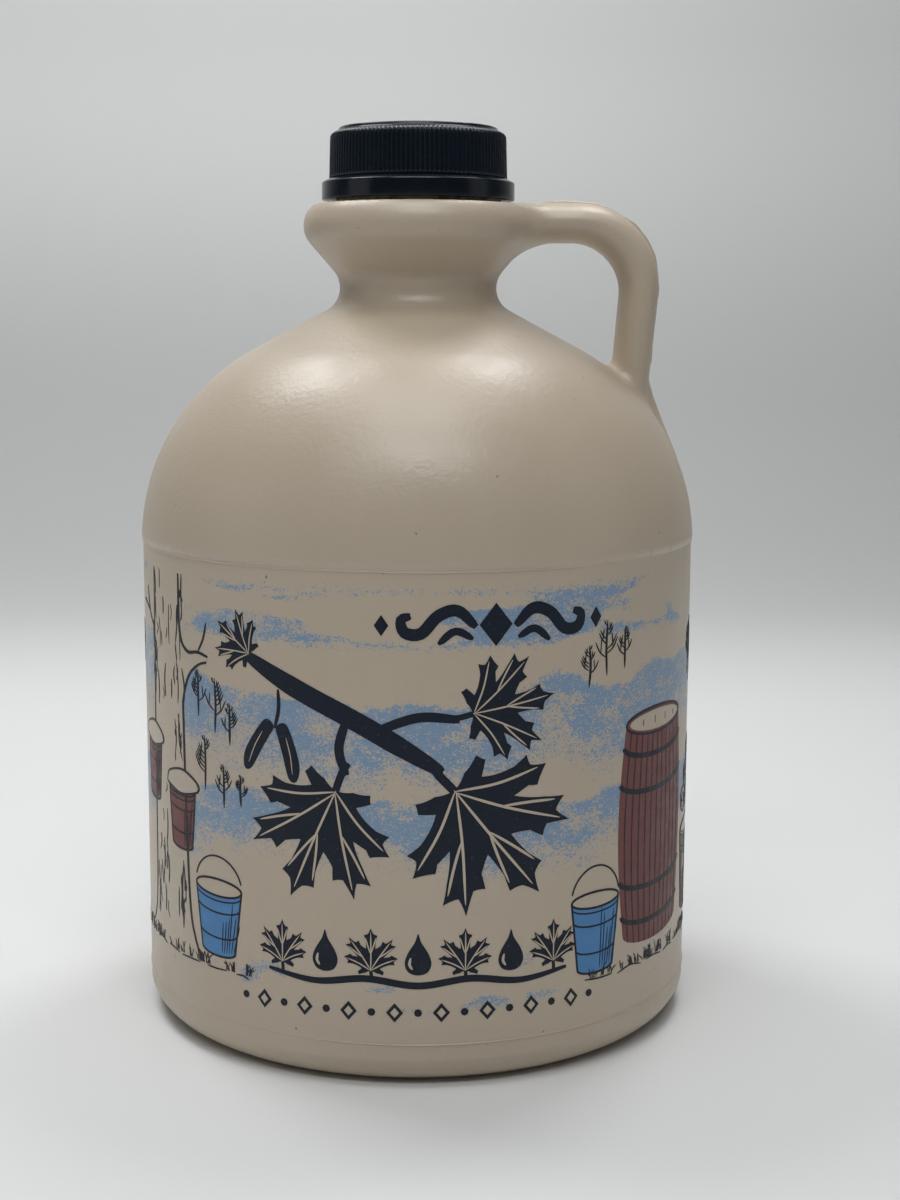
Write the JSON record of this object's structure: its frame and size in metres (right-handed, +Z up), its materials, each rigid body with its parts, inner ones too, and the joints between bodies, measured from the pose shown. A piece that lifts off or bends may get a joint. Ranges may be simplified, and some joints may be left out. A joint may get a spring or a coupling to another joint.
{
  "type": "maple syrup jug",
  "caption": "Round shouldered plastic syrup jug with a loop handle at the neck, a ribbed screw cap and a tamper band; solid, as a full shut pack.",
  "frame": {"origin": "on the jug's axis, in the plane that it stands on", "axes": "+Z up along the jug's axis, +X towards the loop handle"},
  "size_m": [0.128, 0.128, 0.2031],
  "materials": {
    "jug_plastic": "warm beige satin blow-moulded plastic with a printed band",
    "cap_plastic": "near-black blue moulded plastic, fine ribs",
    "band_plastic": "near-black blue moulded plastic, smooth"
  },
  "bodies": {
    "root": {"jug": "jug_plastic", "cap": "cap_plastic", "tamper_band": "band_plastic"}
  },
  "joints": []
}
